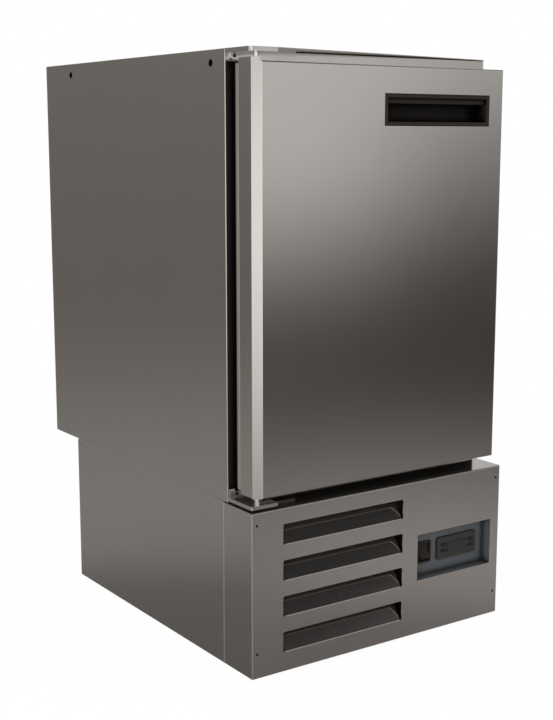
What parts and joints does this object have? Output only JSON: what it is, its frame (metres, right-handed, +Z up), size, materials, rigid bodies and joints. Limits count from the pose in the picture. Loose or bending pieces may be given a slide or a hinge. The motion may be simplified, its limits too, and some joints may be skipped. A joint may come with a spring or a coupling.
{
  "type": "undercounter freezer",
  "caption": "Undercounter freezer in brushed stainless steel: hinged door with recessed handle, louvred machine base, recessed controls.",
  "frame": {"origin": "centre of the footprint, on the floor", "axes": "+X to the right seen from the front, +Y to the back, +Z up; the door faces -Y"},
  "size_m": [0.46, 0.608, 0.85],
  "materials": {
    "steel_brushed": "brushed",
    "steel_plain": "satin",
    "steel_zinc": "satin",
    "steel_bright": "polished",
    "screw_black": "satin",
    "plastic_black": "fine texture",
    "plastic_controller": "satin",
    "display_window": "gloss",
    "gasket_grey": "matte",
    "magnet_strip": "matte",
    "liner_white": "satin",
    "foam": "matte",
    "wire_coated": "satin",
    "fin_aluminium": "satin",
    "condenser_black": "satin",
    "compressor_black": "satin",
    "copper": "drawn tube",
    "rubber_black": "matte",
    "tray_white": "satin",
    "control_plate": "satin"
  },
  "bodies": {
    "cabinet": {"side_panel_left": "steel_brushed", "side_panel_right": "steel_brushed", "top_panel": "steel_brushed", "rear_panel": "steel_plain", "cabinet_floor": "steel_plain", "front_rails": "steel_brushed", "front_frame": "plastic_black", "insulation": "foam", "liner": "liner_white", "side_inserts": "plastic_black", "shelf_runners": "liner_white", "upper_shelf": "wire_coated", "lower_shelf": "wire_coated", "duct_panel": "liner_white", "evaporator": "fin_aluminium", "evaporator_fan_mount": "plastic_black", "drip_tray": "tray_white", "drain_tube": "plastic_black", "upper_hinge_bracket": "steel_plain", "lower_hinge_bracket": "steel_plain", "hinge_pins": "steel_bright", "hinge_screws": "steel_plain", "base_pan": "steel_zinc", "base_uprights": "steel_zinc", "base_posts": "steel_zinc", "base_rails": "steel_zinc", "base_side_left": "steel_brushed", "base_side_right": "steel_brushed", "base_rear_panel": "steel_plain", "cable_gland": "plastic_black", "front_cover": "steel_brushed", "cover_screws": "screw_black", "compressor": "compressor_black", "compressor_mounts": "rubber_black", "terminal_cover": "plastic_black", "condenser": "condenser_black", "fan_shroud": "plastic_black", "condenser_fan_motor": "steel_zinc", "filter_drier": "copper", "refrigerant_pipes": "copper", "evaporation_tray": "tray_white", "control_tray": "control_plate", "control_box": "steel_zinc", "controller_front": "plastic_controller", "controller_display": "display_window", "switch_frame": "plastic_black"},
    "door": {"door_skin": "steel_brushed", "door_foam": "foam", "door_liner": "liner_white", "gasket": "gasket_grey", "gasket_magnets": "magnet_strip", "handle_cup": "plastic_black", "door_bushes": "steel_plain"},
    "condenser_fan": {"condenser_fan": "plastic_black"},
    "evaporator_fan": {"evaporator_fan": "plastic_black"},
    "rocker": {"rocker": "plastic_black"},
    "key_set": {"key_set": "plastic_black"},
    "key_up": {"key_up": "plastic_black"},
    "key_power": {"key_power": "plastic_black"},
    "key_down": {"key_down": "plastic_black"}
  },
  "joints": [
    {"name": "door_hinge", "type": "hinge", "parent": "cabinet", "child": "door", "pos_m": [-0.213, -0.292, 0.54], "axis": [0, 0, -1], "range_deg": [0, 110]},
    {"name": "condenser_fan_spin", "type": "hinge", "parent": "cabinet", "child": "condenser_fan", "pos_m": [-0.074, -0.195, 0.113], "axis": [0, 1, 0], "continuous": true},
    {"name": "evaporator_fan_spin", "type": "hinge", "parent": "cabinet", "child": "evaporator_fan", "pos_m": [0, 0.168, 0.718], "axis": [0, 1, 0], "continuous": true},
    {"name": "rocker_tilt", "type": "hinge", "parent": "cabinet", "child": "rocker", "pos_m": [0.09325, -0.281, 0.11875], "axis": [1, 0, 0], "range_deg": [0, 22]},
    {"name": "key_set_press", "type": "slide", "parent": "cabinet", "child": "key_set", "axis": [0, 1, 0], "range_m": [0, 0.0006], "stiffness_N_per_m": 600, "springref_m": -0.0002},
    {"name": "key_up_press", "type": "slide", "parent": "cabinet", "child": "key_up", "axis": [0, 1, 0], "range_m": [0, 0.0006], "stiffness_N_per_m": 600, "springref_m": -0.0002},
    {"name": "key_power_press", "type": "slide", "parent": "cabinet", "child": "key_power", "axis": [0, 1, 0], "range_m": [0, 0.0006], "stiffness_N_per_m": 600, "springref_m": -0.0002},
    {"name": "key_down_press", "type": "slide", "parent": "cabinet", "child": "key_down", "axis": [0, 1, 0], "range_m": [0, 0.0006], "stiffness_N_per_m": 600, "springref_m": -0.0002}
  ]
}
